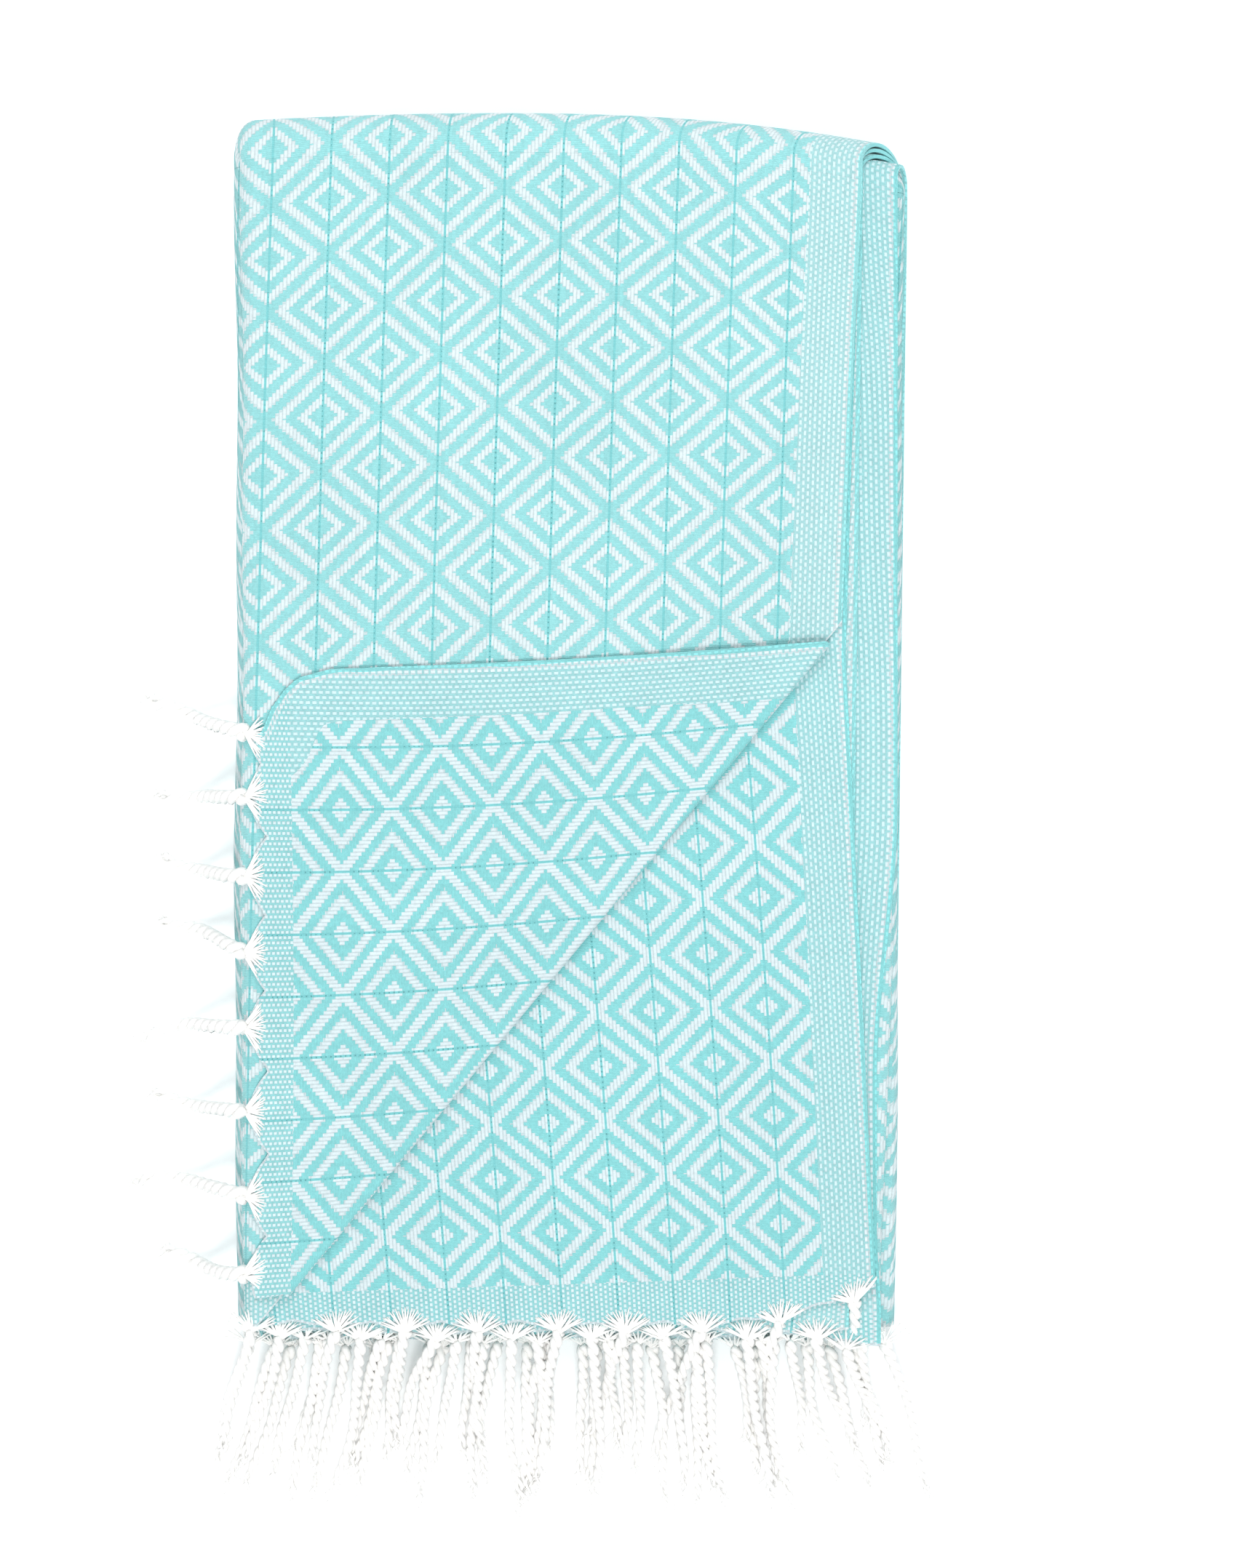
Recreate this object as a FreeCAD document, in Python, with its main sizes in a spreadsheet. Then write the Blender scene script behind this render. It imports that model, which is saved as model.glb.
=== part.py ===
"""A hammam towel, folded: one woven cloth with tasselled warp ends.

The cloth is folded in half along its length, then in quarters across its width, then in half along
its length once more, which makes sixteen layers. The corner of the top layer is turned back over a
diagonal crease. Each layer between two creases is a leaf of its own here, and each crease is the
half tube of cloth that joins two leaves.

Millimetres, +Z up, +Y from the fringe towards the last fold. The origin is at the middle of the
folded towel, on its underside.
"""

import FreeCAD, Part
import math
import os

import Sketcher
from FreeCAD import Placement, Rotation, Vector

X, Y, Z = Vector(1, 0, 0), Vector(0, 1, 0), Vector(0, 0, 1)

# --- driving dimensions -------------------------------------------------------------------------

# alias, value, meaning
SIZES = [
    ("ClothThickness", 1.45, "one layer of cloth"),
    ("PlyGap", 0.3, "air between two layers, and each clearance beside a crease"),
    ("FoldedWidth", 238, "between the left creases and the right creases"),
    ("FoldedLength", 443, "between the fringed ends and the last fold"),
    ("TopInset", 14, "selvedge of the top leaf, in from the right creases"),
    ("SecondInset", 10, "selvedge of the second leaf"),
    ("ThirdInset", 12, "selvedge of the third leaf from the top"),
    ("FourthInset", 4, "selvedge of the fourth leaf from the top"),
    ("LowerInset", 2, "selvedges of the lower half"),
    ("CreaseFootInset", 16.2, "lower end of the corner's crease, in from the left creases"),
    ("CreaseFootRise", 14.5, "lower end of the corner's crease, in from the fringed ends"),
    ("CreaseAngle", 50.3, "degrees from +X to the corner's crease"),
    ("FlapSelvedgeInset", 8, "where the corner's selvedge meets the crease, in from the top leaf's selvedge"),
    ("FlapEndInset", 4, "the turned corner's own fringed end, in from the left creases"),
    ("FlapEndLength", 218, "the turned corner's fringed end"),
    ("FlapFoot", 7, "how far the crease runs on past that fringed end, along Y"),
    ("FlapCornerRadius", 28, "rounding of the turned corner"),
    ("TasselDiameter", 3.2, "one twisted tassel"),
    ("TasselSpacing", 28, "between two tassels of one leaf"),
    ("TasselReach", 60, "how far a bottom tassel lies out from the cloth"),
    ("TasselSpread", 0.16, "sideways fan of the tips, as a share of a tassel's place across"),
    ("FlapTasselReach", 47, "how far a tassel of the turned corner lies out"),
    ("FlapTasselStart", 19, "first tassel of the turned corner, along its fringed end"),
    ("FlapTasselSpacing", 27, "between two tassels of the turned corner"),
    ("HingeLift", 0.9, "the opening axis above the middle of the fold, so that a turned corner clears"),
]

doc = FreeCAD.newDocument("HammamTowel")
sheet = doc.addObject("Spreadsheet::Sheet", "Sizes")


def fill_sheet():
    for row, (alias, number, note) in enumerate(SIZES, start=1):
        sheet.set(f"A{row}", str(number))
        sheet.setAlias(f"A{row}", alias)
        sheet.set(f"B{row}", note)
    derived = [
        ("HalfLayers", "=8"),
        ("PlyPitch", "=ClothThickness + PlyGap"),
        ("LeftRadius", "=(HalfLayers * PlyPitch - PlyGap) / 2"),
        ("RightRadius", "=(HalfLayers / 2 * PlyPitch - PlyGap) / 2"),
        ("WrapRadius", "=HalfLayers * PlyPitch - PlyGap / 2"),
        ("PairRadius", "=PlyPitch - PlyGap / 2"),
        ("LeftEnd", "=-FoldedWidth / 2 + LeftRadius"),
        ("RightEnd", "=FoldedWidth / 2 - RightRadius"),
        ("FrontEnd", "=-FoldedLength / 2"),
        ("BackEnd", "=FoldedLength / 2 - WrapRadius"),
        ("PlateBack", "=BackEnd - PlyGap / 2"),
        ("CreaseHeight", "=2 * HalfLayers * PlyPitch - PlyGap / 2"),
        ("CreaseSlope", "=tan(CreaseAngle * 1deg)"),
        ("CreaseFootX", "=-FoldedWidth / 2 + CreaseFootInset"),
        ("CreaseFootY", "=FrontEnd + CreaseFootRise"),
        ("CreaseReach", "=CreaseFootX - CreaseFootY / CreaseSlope"),
        ("FlapSelvedgeX", "=FoldedWidth / 2 - TopInset - FlapSelvedgeInset"),
        ("FlapEndX", "=-FoldedWidth / 2 + FlapEndInset"),
        ("FlapEndY", "=CreaseFootY + FlapFoot"),
        ("FlapCornerY", "=FlapEndY + FlapEndLength"),
        ("CreaseStep", "=PlyGap / 2 / sin(CreaseAngle * 1deg)"),
    ]
    for row, (alias, formula) in enumerate(derived, start=len(SIZES) + 2):
        sheet.set(f"A{row}", formula)
        sheet.setAlias(f"A{row}", alias)
    doc.recompute()


fill_sheet()


def size(alias):
    return float(getattr(sheet, alias))


def worked_out(expression):
    return float(sheet.evalExpression(expression))


def bind(obj, **expressions):
    for name, expression in expressions.items():
        obj.setExpression(name.replace("_", "."), expression)


sub_parts = []


def keep(obj, label):
    obj.Label = label
    sub_parts.append(obj)
    return obj


# --- leaves: the flat cloth between two creases --------------------------------------------------


def leaf(label, layer, right, front):
    """One rectangular layer. layer counts from 0 at the bottom; right and front are expressions."""
    plate = doc.addObject("Part::Box", label)
    bind(
        plate,
        Length=f"{right} - Sizes.LeftEnd",
        Width=f"Sizes.PlateBack - ({front})",
        Height="Sizes.ClothThickness",
        Placement_Base_x="Sizes.LeftEnd",
        Placement_Base_y=front,
        Placement_Base_z=f"{layer} * Sizes.PlyPitch",
    )
    return keep(plate, label)


CREASED = "Sizes.RightEnd"
FREE_LOWER = "(Sizes.FoldedWidth / 2 - Sizes.LowerInset)"
FREE_UPPER = [
    f"(Sizes.FoldedWidth / 2 - Sizes.{inset})"
    for inset in ("FourthInset", "ThirdInset", "SecondInset", "TopInset")
]
LOWER_FRONT = "(Sizes.FrontEnd + Sizes.PairRadius)"
UPPER_FRONT = "Sizes.FrontEnd"

# Four leaves of each half end in a selvedge on the right, and the four nearest the middle are creased.
for number in range(8):
    leaf(f"lower_leaf_{number + 1}", number, FREE_LOWER if number < 4 else CREASED, LOWER_FRONT)
for number in range(4):
    leaf(f"upper_leaf_{number + 1}", 8 + number, CREASED, UPPER_FRONT)
leaf("upper_leaf_5", 12, FREE_UPPER[0], UPPER_FRONT)
leaf("upper_leaf_6", 13, FREE_UPPER[1], UPPER_FRONT)
leaf("second_leaf", 14, FREE_UPPER[2], UPPER_FRONT)


# --- plates with an outline of their own: the top leaf and its turned corner ---------------------


def origin_plane(body, role):
    return next(f for f in body.Origin.OriginFeatures if f.Role == role)


def plate_body(label, corners, height):
    """A pad of one layer's thickness. corners are (x, y) pairs of expressions, in order."""
    body = doc.addObject("PartDesign::Body", label)
    body.setExpression("Placement.Base.z", height)
    sketch = body.newObject("Sketcher::SketchObject", f"{label}_outline")
    sketch.AttachmentSupport = [(origin_plane(body, "XY_Plane"), "")]
    sketch.MapMode = "FlatFace"
    places = [Vector(worked_out(x), worked_out(y), 0) for x, y in corners]
    count = len(places)
    for i in range(count):
        sketch.addGeometry(Part.LineSegment(places[i], places[(i + 1) % count]), False)
    for i in range(count):
        sketch.addConstraint(Sketcher.Constraint("Coincident", i, 2, (i + 1) % count, 1))
    for i, (x, y) in enumerate(corners):
        for kind, expression, number in (("DistanceX", x, places[i].x), ("DistanceY", y, places[i].y)):
            index = sketch.addConstraint(Sketcher.Constraint(kind, -1, 1, i, 1, number))
            sketch.setExpression(f"Constraints[{index}]", expression)
    pad = body.newObject("PartDesign::Pad", f"{label}_pad")
    pad.Profile = sketch
    pad.setExpression("Length", "Sizes.ClothThickness")
    return keep(body, label)


TOP_RIGHT = FREE_UPPER[3]


def crease_x(y, step="0"):
    """X of the crease line at a given Y, moved by step to keep clear of the fold itself."""
    return f"(Sizes.CreaseReach + ({y}) / Sizes.CreaseSlope - {step})"


def crease_y(x):
    return f"((({x}) - Sizes.CreaseReach + Sizes.CreaseStep) * Sizes.CreaseSlope)"


plate_body(
    "top_leaf",
    [
        ("Sizes.LeftEnd", "Sizes.PlateBack"),
        ("Sizes.LeftEnd", crease_y("Sizes.LeftEnd")),
        (TOP_RIGHT, crease_y(TOP_RIGHT)),
        (TOP_RIGHT, "Sizes.PlateBack"),
    ],
    "(2 * Sizes.HalfLayers - 1) * Sizes.PlyPitch",
)

# The corner lies face down on the top leaf, with its selvedge across and its fringed end at the left.
corner_flap = plate_body(
    "corner_flap",
    [
        ("Sizes.FlapSelvedgeX", crease_y("Sizes.FlapSelvedgeX")),
        ("Sizes.FlapEndX", "Sizes.FlapCornerY"),
        ("Sizes.FlapEndX", "Sizes.FlapEndY"),
        (crease_x("Sizes.CreaseFootY", "Sizes.CreaseStep"), "Sizes.CreaseFootY"),
    ],
    "2 * Sizes.HalfLayers * Sizes.PlyPitch",
)


def round_corner(body, x, y, radius):
    """Rounds the upright edge of a plate that stands at (x, y)."""
    doc.recompute()
    base = body.Tip
    upright = [
        f"Edge{number}"
        for number, edge in enumerate(base.Shape.Edges, start=1)
        if all(math.hypot(v.X - size(x), v.Y - size(y)) < 0.01 for v in edge.Vertexes)
    ]
    fillet = body.newObject("PartDesign::Fillet", f"{body.Name}_corner")
    fillet.Base = (base, upright)
    fillet.setExpression("Radius", radius)
    body.Tip = fillet


round_corner(corner_flap, "FlapEndX", "FlapCornerY", "Sizes.FlapCornerRadius")


# --- creases: half tubes that join two leaves ----------------------------------------------------


def half_tube(label, radius, along, bulge, base, length):
    """A half tube of cloth along one direction, bulging to one side; radius is its outer radius."""
    outer = doc.addObject("Part::Cylinder", f"{label}_outer")
    inner = doc.addObject("Part::Cylinder", f"{label}_inner")
    outer.Angle = 180
    bind(outer, Radius=radius, Height=length)
    bind(inner, Radius=f"{radius} - Sizes.ClothThickness", Height=length)
    tube = doc.addObject("Part::Cut", label)
    tube.Base = outer
    tube.Tool = inner
    tube.Placement = Placement(Vector(), Rotation(bulge.cross(along), bulge, along))
    bind(tube, Placement_Base_x=base[0], Placement_Base_y=base[1], Placement_Base_z=base[2])
    return keep(tube, label)


def nested(low, high):
    """Outer radius and centre height of the crease that joins layer low to layer high."""
    radius = f"(({high} - {low} + 1) * Sizes.PlyPitch - Sizes.PlyGap) / 2"
    return f"({radius})", f"{low} * Sizes.PlyPitch + {radius}"


# Left creases: all eight layers of a half turn there, one inside the next. The outermost is number 1.
for half, first, front in (("lower", 0, LOWER_FRONT), ("upper", 8, UPPER_FRONT)):
    for turn in range(4):
        radius, height = nested(first + turn, first + 7 - turn)
        half_tube(
            f"{half}_left_fold_{turn + 1}",
            radius,
            Y,
            -X,
            ("Sizes.LeftEnd", front, height),
            f"Sizes.PlateBack - {front}",
        )

# Right creases: the four layers nearest the middle of the towel.
for half, first, front in (("lower", 4, LOWER_FRONT), ("upper", 8, UPPER_FRONT)):
    for turn in range(2):
        radius, height = nested(first + turn, first + 3 - turn)
        half_tube(
            f"{half}_right_fold_{turn + 1}",
            radius,
            Y,
            X,
            ("Sizes.RightEnd", front, height),
            f"Sizes.PlateBack - {front}",
        )

# The first fold of all is at the front of the lower half, where each pair of layers turns.
for pair in range(4):
    radius, height = nested(2 * pair, 2 * pair + 1)
    right = FREE_LOWER if pair < 2 else CREASED
    half_tube(
        f"bottom_fold_{pair + 1}",
        radius,
        X,
        -Y,
        ("Sizes.LeftEnd", LOWER_FRONT, height),
        f"{right} - Sizes.LeftEnd",
    )

# The last fold carries every layer of the lower half over into the upper half. Number 1 is innermost.
for turn in range(8):
    radius, height = nested(7 - turn, 8 + turn)
    right = CREASED if turn < 4 else FREE_UPPER[turn - 4]
    half_tube(
        f"top_fold_{turn + 1}",
        radius,
        X,
        Y,
        ("Sizes.LeftEnd", "Sizes.BackEnd", height),
        f"{right} - Sizes.LeftEnd",
    )


def corner_roll():
    """The crease of the turned corner, on the diagonal, one layer thick and square at its ends."""
    angle = math.radians(size("CreaseAngle"))
    along = Vector(math.cos(angle), math.sin(angle), 0)
    bulge = Vector(math.sin(angle), -math.cos(angle), 0)
    foot = "Sizes.FlapEndY"
    return half_tube(
        "corner_roll",
        "Sizes.PairRadius",
        along,
        bulge,
        (crease_x(foot), foot, "Sizes.CreaseHeight"),
        "(Sizes.FlapSelvedgeX - Sizes.CreaseReach) / cos(Sizes.CreaseAngle * 1deg)"
        " - Sizes.FlapEndY / sin(Sizes.CreaseAngle * 1deg) - 4 * Sizes.PairRadius",
    )


corner_roll()


# --- turns of the side creases round the last fold -----------------------------------------------


def crease_profile(sketch, centre, radius, thickness, side):
    """A half ring whose open side faces across; side is -1 for a ring that bulges to the left."""
    x, y = worked_out(centre[0]), worked_out(centre[1])
    outer, inner = worked_out(radius), worked_out(f"{radius} - {thickness}")
    start, stop = (math.pi / 2, 3 * math.pi / 2) if side < 0 else (-math.pi / 2, math.pi / 2)
    for r in (outer, inner):
        circle = Part.Circle(Vector(x, y, 0), Z, r)
        sketch.addGeometry(Part.ArcOfCircle(circle, start, stop), False)
    for end in (1, -1):
        line = Part.LineSegment(Vector(x, y + end * inner, 0), Vector(x, y + end * outer, 0))
        sketch.addGeometry(line, False)
    top, bottom = (1, 2) if side < 0 else (2, 1)
    for constraint in (
        Sketcher.Constraint("Coincident", 0, 3, 1, 3),
        Sketcher.Constraint("Coincident", 0, top, 2, 2),
        Sketcher.Constraint("Coincident", 1, top, 2, 1),
        Sketcher.Constraint("Coincident", 0, bottom, 3, 2),
        Sketcher.Constraint("Coincident", 1, bottom, 3, 1),
        Sketcher.Constraint("Vertical", 2),
        Sketcher.Constraint("Vertical", 3),
        Sketcher.Constraint("Vertical", 0, 3, 0, top),
    ):
        sketch.addConstraint(constraint)
    bound = [
        (Sketcher.Constraint("Radius", 0, outer), radius),
        (Sketcher.Constraint("Radius", 1, inner), f"{radius} - {thickness}"),
        (Sketcher.Constraint("DistanceX", -1, 1, 0, 3, x), centre[0]),
        (Sketcher.Constraint("DistanceY", -1, 1, 0, 3, y), centre[1]),
    ]
    for constraint, expression in bound:
        sketch.setExpression(f"Constraints[{sketch.addConstraint(constraint)}]", expression)


def fold_turn(label, first, last, turns, edge, side):
    """Nested half rings of one side's creases, revolved half way round the last fold's axis."""
    rings = []
    for turn in range(turns):
        radius, _ = nested(first + turn, last - turn)
        centre = f"(({first} + {last} + 1) / 2 - Sizes.HalfLayers) * Sizes.PlyPitch"
        body = doc.addObject("PartDesign::Body", f"{label}_ring_{turn + 1}")
        bind(
            body,
            Placement_Base_y="Sizes.BackEnd",
            Placement_Base_z="Sizes.HalfLayers * Sizes.PlyPitch - Sizes.PlyGap / 2",
        )
        sketch = body.newObject("Sketcher::SketchObject", f"{label}_profile_{turn + 1}")
        sketch.AttachmentSupport = [(origin_plane(body, "XZ_Plane"), "")]
        sketch.MapMode = "FlatFace"
        crease_profile(sketch, (edge, centre), radius, "Sizes.ClothThickness", side)
        ring = body.newObject("PartDesign::Revolution", f"{label}_turn_{turn + 1}")
        ring.Profile = sketch
        ring.ReferenceAxis = (sketch, ["H_Axis"])
        ring.Angle = 180
        ring.Reversed = True
        rings.append(body)
    group = doc.addObject("Part::Compound", label)
    group.Links = rings
    return keep(group, label)


fold_turn("top_fold_left_turn", 8, 15, 4, "Sizes.LeftEnd", -1)
fold_turn("top_fold_right_turn", 8, 11, 2, "Sizes.RightEnd", 1)


# --- tassels: the warp's own ends, twisted together ----------------------------------------------


def rounded_path(points):
    """Straight runs joined by tangent arcs, each as large as its two runs allow."""
    edges = []
    radii = []
    start = points[0]
    for before, corner, after in zip(points, points[1:], points[2:]):
        arriving = (corner - before).normalize()
        leaving = (after - corner).normalize()
        half_turn = arriving.getAngle(leaving) / 2
        reach = 0.45 * min((corner - before).Length, (after - corner).Length)
        radius = reach / math.tan(half_turn)
        inward = (leaving - arriving).normalize()
        middle = corner + inward * (radius / math.cos(half_turn) - radius)
        enter = corner - arriving * reach
        leave = corner + leaving * reach
        edges.append(Part.LineSegment(start, enter).toShape())
        edges.append(Part.Arc(enter, middle, leave).toShape())
        radii.append(radius)
        start = leave
    edges.append(Part.LineSegment(start, points[-1]).toShape())
    return Part.Wire(edges), radii


smallest_radius = []


def tassel(points):
    path, radii = rounded_path(points)
    smallest_radius.append(min(radii))
    radius = size("TasselDiameter") / 2
    ring = Part.Circle(points[0], points[1] - points[0], radius).toShape()
    solid = path.makePipeShell([Part.Wire([ring])], True, False)
    if solid.ShapeType != "Solid":
        solid = Part.makeSolid(solid.Shells[0])
    expected = math.pi * radius**2 * path.Length
    if abs(solid.Volume / expected - 1) > 0.01:
        raise ValueError(f"a tassel's volume is {solid.Volume:.1f}, not {expected:.1f}")
    return solid


def stand_off(points, outwards):
    """Moves a route outwards, so that the rim of its slanted first end clears the cloth's edge."""
    run = (points[1] - points[0]).normalize()
    slant = math.sqrt(max(0.0, 1 - run.dot(outwards) ** 2))
    step = outwards * (size("TasselDiameter") / 2 * slant)
    return [point + step for point in points]


def tassel_node(label, solids):
    node = doc.addObject("Part::Feature", label)
    node.Shape = solids[0] if len(solids) == 1 else Part.makeCompound(solids)
    node.Placement = Placement()
    return keep(node, label)


# A tassel leaves its leaf level, falls past the layers below and lies on the floor. Each place is a
# share of the reach outwards, a share of the drop, and a share of the sideways fan.
BOTTOM_ROUTE = [(0.0, 0.0, 0.0), (0.22, 0.06, 0.16), (0.45, 0.6, 0.4), (0.72, 0.985, 0.7), (1.0, 1.0, 1.0)]
TASSEL_ROWS = [
    "upper_leaf_4_tassels",
    "second_leaf_tassels",
    "upper_leaf_2_tassels",
    "upper_leaf_6_tassels",
    "upper_leaf_1_tassels",
    "upper_leaf_5_tassels",
    "upper_leaf_3_tassels",
]
ROW_LAYER = {
    "upper_leaf_1_tassels": 8,
    "upper_leaf_2_tassels": 9,
    "upper_leaf_3_tassels": 10,
    "upper_leaf_4_tassels": 11,
    "upper_leaf_5_tassels": 12,
    "upper_leaf_6_tassels": 13,
    "second_leaf_tassels": 14,
}


LENGTH_WAVER = 5.0
LANE_WAVER = 0.25


def lane_width():
    return size("TasselSpacing") / len(TASSEL_ROWS)


def bottom_tassel(lane, layer, across):
    """The seven rows share the front edge, each tassel in a lane of its own, so none crosses another."""
    radius = size("TasselDiameter") / 2
    root_height = layer * size("PlyPitch") + size("ClothThickness") / 2
    floor = radius + 0.05
    reach = size("TasselReach") + LENGTH_WAVER * math.sin(2.3 * lane)
    waver = LANE_WAVER * (lane_width() - 2 * radius) * math.sin(1.9 * lane)
    fan = size("TasselSpread") * across * reach / size("TasselReach") + waver
    start = size("FrontEnd") - size("PlyGap")
    route = [
        Vector(across + fan * side, start - reach * out, root_height - (root_height - floor) * drop)
        for out, drop, side in BOTTOM_ROUTE
    ]
    return stand_off(route, -Y)


def bottom_fringe():
    room = size("FoldedWidth") - size("TasselDiameter") - size("PlyGap")
    lanes = int(room / lane_width()) + 1
    rows = {name: [] for name in TASSEL_ROWS}
    for lane in range(lanes):
        name = TASSEL_ROWS[lane % len(TASSEL_ROWS)]
        across = (lane - (lanes - 1) / 2) * lane_width()
        rows[name].append(tassel(bottom_tassel(lane, ROW_LAYER[name], across)))
    for name, solids in rows.items():
        tassel_node(name, solids)


bottom_fringe()

# The corner's own tassels leave its fringed end and fall over the left creases to the floor.
FLAP_ROUTE = [(0.0, 0.0, 0.0), (0.265, 0.05, 0.15), (0.45, 0.65, 0.4), (0.69, 0.99, 0.7), (1.0, 1.0, 1.0)]


def flap_edge(y, half_width):
    """The leftmost X of the turned corner between y - half_width and y + half_width."""
    shape = corner_flap.Shape
    box = shape.BoundBox
    strip = Part.makeBox(box.XLength, 2 * half_width, box.ZLength, Vector(box.XMin, y - half_width, box.ZMin))
    return shape.common(strip).BoundBox.XMin


def flap_fringe():
    doc.recompute()
    radius = size("TasselDiameter") / 2
    root_height = 2 * size("HalfLayers") * size("PlyPitch") + radius
    floor = radius + 0.05
    tip = size("FlapEndX") - size("FlapTasselReach")
    first = size("FlapCornerY") - size("FlapTasselStart")
    for number in range(8):
        y = first - number * size("FlapTasselSpacing")
        root = flap_edge(y, radius) - size("PlyGap")
        reach = root - tip + 2.5 * math.sin(1.7 * number)
        lean = 2.0 * math.sin(2.1 * number + 0.6)
        route = [
            Vector(root - reach * out, y + lean * side, root_height - (root_height - floor) * drop)
            for out, drop, side in FLAP_ROUTE
        ]
        tassel_node(f"flap_tassel_{number + 1}", [tassel(stand_off(route, -X))])


flap_fringe()


# --- check and write -----------------------------------------------------------------------------


def check_document():
    doc.recompute()
    for obj in doc.Objects:
        if "Invalid" in obj.State or "Error" in obj.State:
            raise ValueError(f"{obj.Label} failed: {obj.State}")
    for obj in sub_parts:
        if obj.Shape.isNull() or not obj.Shape.isValid() or not obj.Shape.Solids:
            raise ValueError(f"{obj.Label} has no valid solid")


def write_steps():
    os.makedirs("parts", exist_ok=True)
    for obj in sub_parts:
        obj.Shape.exportStep(f"parts/{obj.Label}.step")


check_document()
write_steps()
print(f"{len(sub_parts)} nodes, smallest tassel radius {min(smallest_radius):.1f} mm")
print(f"opening axis at Y {size('BackEnd'):.3f}, Z {size('WrapRadius') + size('HingeLift'):.3f}")
print(f"corner's axis at X {size('CreaseReach'):.3f}, Z {size('CreaseHeight'):.3f}")
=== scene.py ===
"""A folded hammam towel: one jacquard cotton cloth with tasselled warp ends, its top corner turned back."""

import math
from collections import namedtuple

import bpy
import numpy as np
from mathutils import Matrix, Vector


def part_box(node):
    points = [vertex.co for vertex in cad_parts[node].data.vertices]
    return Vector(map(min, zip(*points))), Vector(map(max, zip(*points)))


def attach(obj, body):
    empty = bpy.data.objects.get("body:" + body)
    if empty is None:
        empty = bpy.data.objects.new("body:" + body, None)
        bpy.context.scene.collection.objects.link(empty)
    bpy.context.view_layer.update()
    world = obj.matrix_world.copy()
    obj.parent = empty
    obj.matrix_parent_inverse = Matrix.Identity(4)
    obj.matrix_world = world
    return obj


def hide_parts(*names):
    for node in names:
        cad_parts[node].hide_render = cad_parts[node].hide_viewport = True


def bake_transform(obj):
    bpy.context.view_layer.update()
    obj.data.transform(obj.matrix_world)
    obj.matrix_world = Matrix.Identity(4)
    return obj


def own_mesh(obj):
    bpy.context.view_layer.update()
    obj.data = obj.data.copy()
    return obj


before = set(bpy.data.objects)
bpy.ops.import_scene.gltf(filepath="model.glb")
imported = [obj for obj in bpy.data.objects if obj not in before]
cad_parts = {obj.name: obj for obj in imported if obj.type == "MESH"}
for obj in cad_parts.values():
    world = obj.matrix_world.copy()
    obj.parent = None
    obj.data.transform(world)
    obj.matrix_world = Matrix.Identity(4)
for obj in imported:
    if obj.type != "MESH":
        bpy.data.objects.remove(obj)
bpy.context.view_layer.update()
MM = 0.001


# --- the upper cloth, outer ply ------------------------------------------------------------------
# The towel is one cotton cloth, woven on a jacquard loom in white and turquoise, so its two faces
# are each other's negatives. Folded in half, in quarters and in half again, it makes sixteen
# leaves. This is the outer ply of the upper eight: four leaves, joined by three soft folds.

LEAVES = [f"lower_leaf_{n}" for n in range(1, 9)] + [f"upper_leaf_{n}" for n in range(1, 7)]
LEAVES += ["second_leaf", "top_leaf"]


def middle_height(node):
    low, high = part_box(node)
    return (low.z + high.z) / 2 / MM


LEAF_HEIGHT = [middle_height(node) for node in LEAVES]
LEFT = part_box("top_leaf")[0].x / MM
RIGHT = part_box("upper_leaf_1")[1].x / MM
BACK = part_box("top_leaf")[1].y / MM
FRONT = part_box("second_leaf")[0].y / MM
LOWER_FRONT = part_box("lower_leaf_1")[0].y / MM
FOLD_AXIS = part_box("top_fold_8")[0].y / MM
FOLD_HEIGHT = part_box("top_fold_8")[1].z / MM / 2
CREASE_SLOPE = math.tan(math.radians(50.3))
CREASE_FOOT = 69.055
CLOTH = 1.25
PIN_SPACING = 21.3
DIAMOND_HEIGHT = 20.0
OUTER_QUARTER = 217.0
FOLD_STEPS = (14, 8, 8)

# A place on a ply: its leaf, the two edges that it lies between and its share of the way from one to the other,
# how far out a fold takes it, its height, and how far on it is across the flat cloth.
Place = namedtuple("Place", "leaf start end share out height on")


def ease(value, start, end):
    """0 before start, 1 after end, and a soft step between."""
    t = np.clip((value - start) / (end - start), 0, 1)
    return t * t * (3 - 2 * t)


def crease_x(y):
    """Where the turned corner's slanting crease lies."""
    return CREASE_FOOT + y / CREASE_SLOPE


def selvedge_x(leaf, y, low):
    """Where a leaf's selvedge lies: the stack isn't square. low is 0 in the upper half and 1 in the lower."""
    upper = {
        15: 98.0 + 0.0436 * y,
        14: 101.1 + (25 - np.minimum(y, 25)) * 0.0478 + (np.maximum(y, 25) - 25) * 0.03,
        13: 105.3 + 0.012 * (y - 25),
        12: 120.3 - 7.6 * ease(-y, 30, 130) + 1.5 * ease(-y, 185, 215),
    }[leaf]
    lower = 121.0 + 0.012 * y + 0.5 * (15 - leaf)
    return upper * (1 - low) + lower * low


def fold_x(side, y, low):
    """Where the left or the right folds start. The lower half lies a little wider than the upper."""
    if side == "left":
        return LEFT - 3.6 * low + 0.5 * np.sin(y / 47.0) + 0.4 * np.sin(y / 19.0 + 1)
    upper = RIGHT - 4.5 * ease(-y, 60, 210)
    return upper * (1 - low) + (RIGHT + 3.0 + 0.008 * y) * low + 0.4 * np.sin(y / 31.0)


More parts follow.
